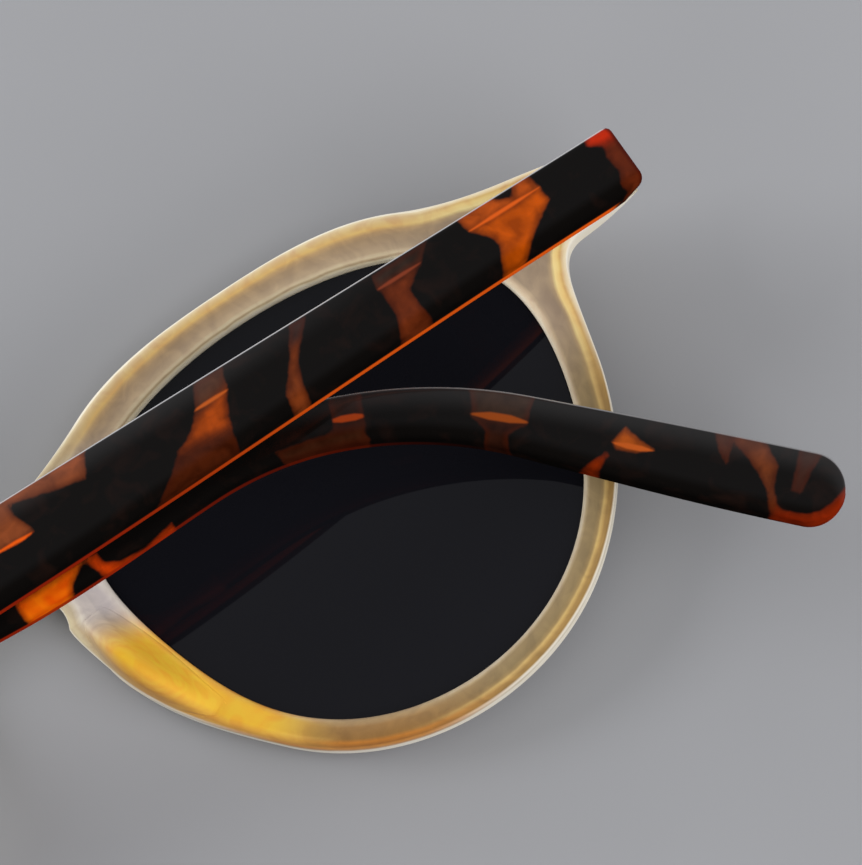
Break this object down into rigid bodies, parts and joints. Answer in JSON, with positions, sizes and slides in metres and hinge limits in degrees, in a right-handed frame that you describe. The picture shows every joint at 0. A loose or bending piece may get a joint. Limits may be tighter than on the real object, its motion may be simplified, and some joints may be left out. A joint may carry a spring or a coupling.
{
  "type": "sunglasses",
  "caption": "Panto-shaped plastic sunglasses with a keyhole bridge, dark curved lenses, bonded nose pads and drop-tipped side arms that fold over the back on knuckle hinges.",
  "frame": {"origin": "middle of the folded glasses' footprint, on the surface that the front lies on face down", "axes": "+X to the wearer's right, +Y to the brow, +Z to the wearer, away from the surface"},
  "size_m": [0.1402, 0.0489, 0.0308],
  "materials": {
    "front_plastic": "polished, part clear, honey colour with a yellow outer edge",
    "arm_plastic": "polished tortoiseshell, near black with amber patches",
    "lens": "polished dark grey tint",
    "pad": "pearly, polished",
    "hinge_metal": "satin",
    "screw_metal": "satin"
  },
  "bodies": {
    "front": {"front_frame": "front_plastic", "right_lens": "lens", "left_lens": "lens", "right_nose_pad": "pad", "left_nose_pad": "pad", "right_front_hinge": "hinge_metal", "left_front_hinge": "hinge_metal", "right_hinge_screw": "screw_metal", "left_hinge_screw": "screw_metal"},
    "right_arm": {"right_temple": "arm_plastic", "right_temple_hinge": "hinge_metal"},
    "left_arm": {"left_temple": "arm_plastic", "left_temple_hinge": "hinge_metal"}
  },
  "joints": [
    {"name": "right_arm_fold", "type": "hinge", "parent": "front", "child": "right_arm", "pos_m": [0.06479, 0.0126, 0.01414], "axis": [0, 1, 0], "range_deg": [0, 86.5]},
    {"name": "left_arm_fold", "type": "hinge", "parent": "front", "child": "left_arm", "pos_m": [-0.06479, 0.0126, 0.01414], "axis": [0, -1, 0], "range_deg": [0, 92.7]}
  ],
  "couplings": [
    {"joint": "left_arm_fold", "follows": "right_arm_fold", "ratio": 0.3}
  ]
}
